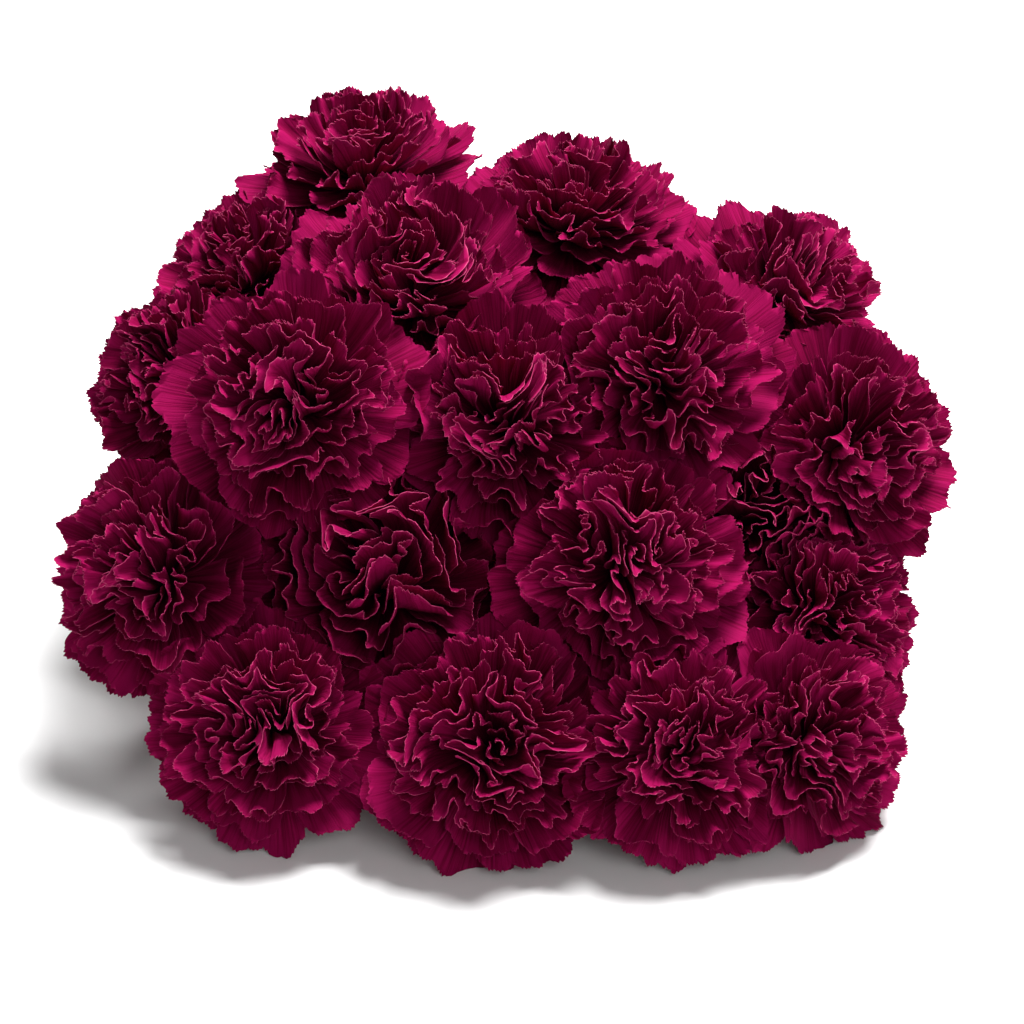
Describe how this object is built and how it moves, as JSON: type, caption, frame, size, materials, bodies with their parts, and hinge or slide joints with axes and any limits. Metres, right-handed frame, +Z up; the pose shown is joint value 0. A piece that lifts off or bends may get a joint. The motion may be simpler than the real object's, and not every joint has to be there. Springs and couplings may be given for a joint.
{
  "type": "bunch of carnations",
  "caption": "Bunch of open carnations laid on its side: ruffled burgundy blooms in a dome, on leafy stems that one band gathers.",
  "frame": {"origin": "on the surface that the bunch lies on, below the middle of its bounding box", "axes": "+Y from the blooms back along the stems to their cut ends, +Z up, +X to the right of someone who faces the blooms"},
  "size_m": [0.2866, 0.42, 0.1602],
  "materials": {
    "petals": "soft velvety petal, deep burgundy with paler toothed edges",
    "green": "waxy blue-green stem, calyx and leaf",
    "band": "matt natural rubber"
  },
  "bodies": {
    "root": {"bloom_01": "petals", "bloom_02": "petals", "bloom_03": "petals", "bloom_04": "petals", "bloom_05": "petals", "bloom_06": "petals", "bloom_07": "petals", "bloom_08": "petals", "bloom_09": "petals", "bloom_10": "petals", "bloom_11": "petals", "bloom_12": "petals", "bloom_13": "petals", "bloom_14": "petals", "bloom_15": "petals", "bloom_16": "petals", "bloom_17": "petals", "bloom_18": "petals", "bloom_19": "petals", "stem_01": "green", "stem_02": "green", "stem_03": "green", "stem_04": "green", "stem_05": "green", "stem_06": "green", "stem_07": "green", "stem_08": "green", "stem_09": "green", "stem_10": "green", "stem_11": "green", "stem_12": "green", "stem_13": "green", "stem_14": "green", "stem_15": "green", "stem_16": "green", "stem_17": "green", "stem_18": "green", "stem_19": "green", "band": "band"}
  },
  "joints": []
}
